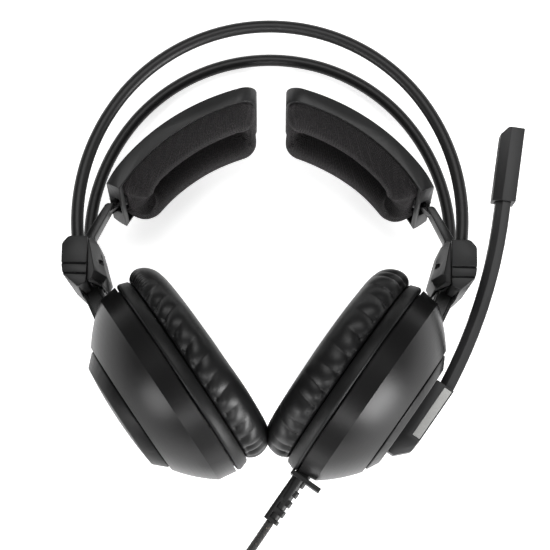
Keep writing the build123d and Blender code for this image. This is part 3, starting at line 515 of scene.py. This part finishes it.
# --- wing pads ------------------------------------------------------------------------------------
PAD_ARC = (-16.0, -36.8)      # centre, across and up, of the arc that the pads follow
PAD_FACE_R, PAD_MIDDLE_R = 94.8, 90.0
PAD_END_X = 8.4               # how near the pad's upper end comes to the middle
PAD_HALF_Y, PAD_CORNER = 18.7, 7.5
PAD_CROWN, PAD_SUNK = 9.5, 4.6   # how high the ring rises, and how deep its rim sits in the tray
PAD_CLOTH_LOW = 30.9          # degrees, where the cloth ends over the pivot
PAD_PIVOT_ROOM = (17.0, 9.0)  # length and half width of the stretch that stays clear of the pivot
SLOT_R, SLOT_Y = 3.6, -2.5    # half width of the long slot, and how far it lies off the middle
REAR_RISE = 2.0               # how much more the ring rises along its rear


def rounded_outline(half_x, half_y, corner, count):
    """Points around a rounded rectangle, evenly spaced."""
    x, y = half_x - corner, half_y - corner
    quarter = math.pi * corner / 2
    total = 4 * (x + y + quarter)
    # A line has its start and its way, and an arc has its centre and the degrees that it starts at.
    runs = [("line", 2 * y, (half_x, -y), (0, 1)), ("arc", quarter, (x, y), 0),
            ("line", 2 * x, (x, half_y), (-1, 0)), ("arc", quarter, (-x, y), 90),
            ("line", 2 * y, (-half_x, y), (0, -1)), ("arc", quarter, (-x, -y), 180),
            ("line", 2 * x, (-x, -half_y), (1, 0)), ("arc", quarter, (x, -y), 270)]
    points = []
    for index in range(count):
        at = total * index / count
        for kind, length, where, how in runs:
            if at <= length:
                break
            at -= length
        if kind == "line":
            points.append((where[0] + how[0] * at, where[1] + how[1] * at))
        else:
            turn = math.radians(how) + at / corner
            points.append((where[0] + corner * math.cos(turn), where[1] + corner * math.sin(turn)))
    return np.array(points)


def pad_cloth(side, seed):
    """The pad's ring cushion: a crowned ring of cloth around a long slot, bent to the tray's curve.

    It is laid out flat first, along and across the pad, with the outline's points going around the ring.
    """
    around, across = 420, 60
    high = math.acos((PAD_END_X - PAD_ARC[0]) / PAD_FACE_R)
    low = math.radians(PAD_CLOTH_LOW)
    half_x = (high - low) / 2 * PAD_MIDDLE_R
    outer = rounded_outline(half_x, PAD_HALF_Y, PAD_CORNER, around)
    slot_x = np.clip(outer[:, 0], -half_x + 7.0 + SLOT_R, half_x - 10.0 - SLOT_R)
    inner = np.stack([slot_x, np.full(around, SLOT_Y)], 1)
    spoke = outer - inner
    spoke /= np.linalg.norm(spoke, axis=1)[:, None]
    inner = inner + spoke * SLOT_R
    t = np.linspace(0, 1, across)
    wide = np.sign(np.cos(math.pi * t)) * np.abs(np.cos(math.pi * t)) ** (2 / 3.0)
    sway = 0.5 - 0.5 * wide
    rise = np.sin(math.pi * t) ** (2 / 2.5)
    swell = np.array([noise.noise(Vector((x * 0.045 + seed, y * 0.09, 0.3))) for x, y in outer])
    span = np.linalg.norm(outer - inner, axis=1)
    full = PAD_CROWN * np.clip(span / 12.5, 0.82, 1.04) + 0.45 * swell
    full += REAR_RISE * np.clip(outer[:, 1] / PAD_HALF_Y, 0, 1)
    plan = outer[:, None, :] + (inner - outer)[:, None, :] * sway[None, :, None]
    belly = 0.9 * np.sin(math.pi * np.clip(t / 0.35, 0, 1)) * (t < 0.35)
    plan = plan + spoke[:, None, :] * belly[None, :, None]
    base_t = np.linspace(1, 0, 8)[1:-1]
    base = outer[:, None, :] + (inner - outer)[:, None, :] * base_t[None, :, None]
    plan = np.concatenate([plan, base], 1)
    rise = np.concatenate([rise, np.zeros(len(base_t))])
    room_long, room_wide = PAD_PIVOT_ROOM
    near = (np.clip((plan[..., 0] - half_x + room_long) / 3, 0, 1)
            * np.clip((room_wide - np.abs(plan[..., 1])) / 2.5, 0, 1))
    sunk = PAD_SUNK - (PAD_SUNK + 0.2) * near
    lift = rise[None, :] * (full[:, None] + sunk) - sunk
    turn = (high + low) / 2 - plan[..., 0] / PAD_MIDDLE_R
    r = PAD_FACE_R - lift
    points = np.stack([PAD_ARC[0] + r * np.cos(turn), plan[..., 1], PAD_ARC[1] + r * np.sin(turn)], 2)
    away = np.where(np.arange(points.shape[1]) < across / 2, 1.0, -1.0)[None, :, None]
    uv = (plan + away * spoke[:, None, :] * (PAD_CROWN - lift)[..., None]) * MM
    points = mapped(points, placed(side, PITCH))
    mesh = grid_mesh(side + "_pad_mesh_ring", points, flip=side == "right", uv=uv)
    obj = new_object(side + "_pad_mesh_ring", mesh)
    give(obj, "mesh_cloth")
    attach(obj, side + "_pad")
    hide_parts(side + "_pad_cushion")


# --- cord -----------------------------------------------------------------------------------------
CORD_R, CORD_LENGTH = 0.0019, 1.8
CORD_STEP, CORD_SIDES = 0.0007, 20
BRAID_PITCH, BRAID_RELIEF = 2 * math.pi * CORD_R / 5, 0.00011
LEAD_MM = [(-11.39, -111.25, 59.45), (-19.9, -124.1, 60.8), (-31.2, -140.5, 52.0), (-39.2, -153.0, 33.0),
           (-50.2, -169.0, 12.5), (-61.7, -185.5, 2.6), (-65.2, -203.0, 2.0), (-62.3, -214.0, 2.0)]
TAIL_MM = [(-37.7, -238.4, 2.0), (-22.7, -239.4, 2.0), (-2.7, -236.5, 2.0), (17.3, -229.5, 2.0),
           (34.3, -226.2, 3.6), (48.3, -226.0, 4.6)]
COIL_AT_MM = (-35.7, -212.0)
# Radius and height of the tracks that the put-away cord's turns keep to, from the lead's end on.
TRACKS_MM = [(26.8, 2.0), (23.2, 2.0), (19.3, 2.0), (15.4, 2.1), (17.3, 5.3), (21.2, 5.4), (23.2, 8.7),
             (19.3, 8.7), (15.4, 8.7), (17.3, 11.7), (21.2, 11.6), (25.0, 10.6), (27.1, 5.8), (27.1, 2.0)]
TURN_POINTS = 16
MOVE_OVER = 0.3               # share of a turn in which the cord moves over to the next track
# The strain relief's core runs this way to the cord's exit, over this length, with this radius.
RELIEF_WAY, RELIEF_MM, RELIEF_CORE_R = Vector((-0.553, -0.832, 0.037)), 24.0, 0.0027


def coil_points():
    """Turns of the put-away cord: each starts by moving over to the next track, and then keeps to it."""
    points = []
    draw = random.Random(7)
    steps = (len(TRACKS_MM) - 2) * TURN_POINTS + TURN_POINTS // 4
    for step in range(1, steps):
        turn = step / TURN_POINTS
        index = int(turn)
        blend = min(1.0, (turn - index) / MOVE_OVER)
        blend = blend * blend * (3 - 2 * blend)
        (r0, z0), (r1, z1) = TRACKS_MM[index:index + 2]
        r, z = r0 + (r1 - r0) * blend, z0 + (z1 - z0) * blend
        r += draw.uniform(-0.12, 0.12)
        angle = math.pi + 2 * math.pi * turn
        points.append((COIL_AT_MM[0] + r * math.cos(angle), COIL_AT_MM[1] + r * math.sin(angle), z))
    return points


def cord_curve():
    """Points along a smooth line through the cord's whole route."""
    route = LEAD_MM + coil_points() + TAIL_MM
    data = bpy.data.curves.new("cord_line", "CURVE")
    data.dimensions = "3D"
    spline = data.splines.new("NURBS")
    spline.points.add(len(route) - 1)
    for point, (x, y, z) in zip(spline.points, route):
        point.co = (x * MM, y * MM, z * MM, 1)
    spline.order_u = 3
    spline.use_endpoint_u = True
    spline.resolution_u = 8
    obj = new_object("cord_line", data)
    bpy.context.view_layer.update()
    mesh = bpy.data.meshes.new_from_object(obj.evaluated_get(bpy.context.evaluated_depsgraph_get()))
    path = np.array([v.co[:] for v in mesh.vertices])
    bpy.data.objects.remove(obj)
    return path


def even(path, step):
    """The path with points about a step apart, and its length."""
    run = np.concatenate([[0], np.cumsum(np.linalg.norm(np.diff(path, axis=0), axis=1))])
    count = int(run[-1] / step) + 1
    at = np.linspace(0, run[-1], count)
    return np.stack([np.interp(at, run, path[:, k]) for k in range(3)], 1), run[-1]


def tube(name, path, radius, sides, weave=0.0):
    """A mesh tube around a path, with closed ends that are a little narrower, and a braid's relief."""
    tangent = np.gradient(path, axis=0)
    tangent /= np.linalg.norm(tangent, axis=1)[:, None]
    side = np.cross(tangent[0], (0, 0, 1.0))
    side /= np.linalg.norm(side)
    rows = []
    length = 0.0
    for index, (point, along) in enumerate(zip(path, tangent)):
        side = side - along * (side @ along)
        side /= np.linalg.norm(side)
        other = np.cross(along, side)
        if index:
            length += np.linalg.norm(point - path[index - 1])
        turn = np.arange(sides) * 2 * math.pi / sides
        around = turn * radius
        a = np.cos(math.pi * 2 * (length + around) / BRAID_PITCH)
        b = np.cos(math.pi * 2 * (length - around) / BRAID_PITCH)
        r = radius + weave * (np.maximum(a, b) - 0.8)
        if index in (0, len(path) - 1):
            r = r * 0.92
        rows.append(point + (np.cos(turn)[:, None] * side + np.sin(turn)[:, None] * other) * r[:, None])
    points = np.array(rows)
    step = np.linalg.norm(path[1] - path[0])
    mesh = grid_mesh(name, points, closed=False, uv_step=(step, 2 * math.pi * radius / sides))
    bm = bmesh.new()
    bm.from_mesh(mesh)
    bmesh.ops.holes_fill(bm, edges=[e for e in bm.edges if e.is_boundary], sides=0)
    bmesh.ops.recalc_face_normals(bm, faces=bm.faces)
    bm.to_mesh(mesh)
    bm.free()
    mesh.shade_smooth()
    return new_object(name, mesh)


def cord():
    line, length = even(cord_curve(), CORD_STEP)
    obj = tube("cord_braid", line, CORD_R, CORD_SIDES, weave=BRAID_RELIEF)
    give(obj, "braid")
    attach(obj, "right_cup")
    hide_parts("cord_lead", "cord_coil", "cord_tail")
    print("cord length", round(length, 4))


def relief_core():
    """The soft sleeve around the cord, seen through the strain relief's windows."""
    end = Vector(LEAD_MM[0])
    way = RELIEF_WAY.normalized()
    line = np.array([(end - way * step) * MM for step in np.linspace(RELIEF_MM, 0.3, 120)])
    obj = tube("strain_relief_core", line, RELIEF_CORE_R, 28)
    give(obj, "rubber")
    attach(obj, "right_cup")


# --- stage ----------------------------------------------------------------------------------------
TABLE_GLOW, SKY = 0.74, 0.12
# Name, place, width and height, and power; they all point at the headset.
SOFTBOXES = [
    ("top", (0.0, 0.9, 1.7), (1.4, 0.8), 18.0),
    ("front", (0.0, -1.2, 1.3), (0.8, 0.4), 12.0),
    ("low_left", (-0.95, -0.80, 0.40), (0.45, 0.25), 7.0),
    ("low_right", (0.95, -0.80, 0.40), (0.6, 0.36), 22.0),
]


def softbox(name, at, size, power):
    data = bpy.data.lights.new(name, "AREA")
    data.shape = "RECTANGLE"
    data.size, data.size_y = size
    data.energy = power
    obj = new_object(name, data)
    obj.location = at
    obj.rotation_euler = (Vector((0, -0.02, 0.04)) - Vector(at)).to_track_quat("-Z", "Y").to_euler()


def stage():
    """A pale light table, a large dim light above, and low softboxes that draw the cups' highlights."""
    mesh = bpy.data.meshes.new("floor")
    half = 4.0
    corners = [(-half, -half, 0), (half, -half, 0), (half, half, 0), (-half, half, 0)]
    mesh.from_pydata(corners, [], [(0, 1, 2, 3)])
    floor = new_object("floor", mesh)
    s = Shader("floor", (0.86, 0.86, 0.86), 0.7, Specular_IOR_Level=0.2)
    s.bsdf.inputs["Emission Color"].default_value = (1, 1, 1, 1)
    s.bsdf.inputs["Emission Strength"].default_value = TABLE_GLOW
    mesh.materials.append(s.done())
    world = bpy.data.worlds.new("studio")
    world.use_nodes = True
    world.node_tree.nodes["Background"].inputs["Color"].default_value = (1, 1, 1, 1)
    world.node_tree.nodes["Background"].inputs["Strength"].default_value = SKY
    bpy.context.scene.world = world
    for values in SOFTBOXES:
        softbox(*values)
    bpy.context.scene.view_settings.view_transform = "Standard"


# --- build ----------------------------------------------------------------------------------------
camera()
for name, obj in NODES.items():
    give(obj, finish_of(name))
    obj.data.shade_smooth()
    obj.data.set_sharp_from_angle(angle=math.radians(30))

PAIR_EDGES = {"bracket_outer": 0.45, "bracket_inner": 0.4, "yoke": 0.3, "arm": 0.35, "pad_shell": 0.35,
              "cup_cap": 0.35, "baffle": 0.25}
soft_edges = {f"{side}_{name}": width for side in ("left", "right") for name, width in PAIR_EDGES.items()}
soft_edges.update(mic_base=0.3, mic_boom=0.3, mic_head=0.3, strain_relief=0.25, plug_handle=0.2)
for name, width in soft_edges.items():
    give(softened(name, width), finish_of(name))

ear_cushion("right", 3)
ear_cushion("left", 11, thin=0.12)
pad_cloth("right", 5)
pad_cloth("left", 9)
cord()
relief_core()
stage()
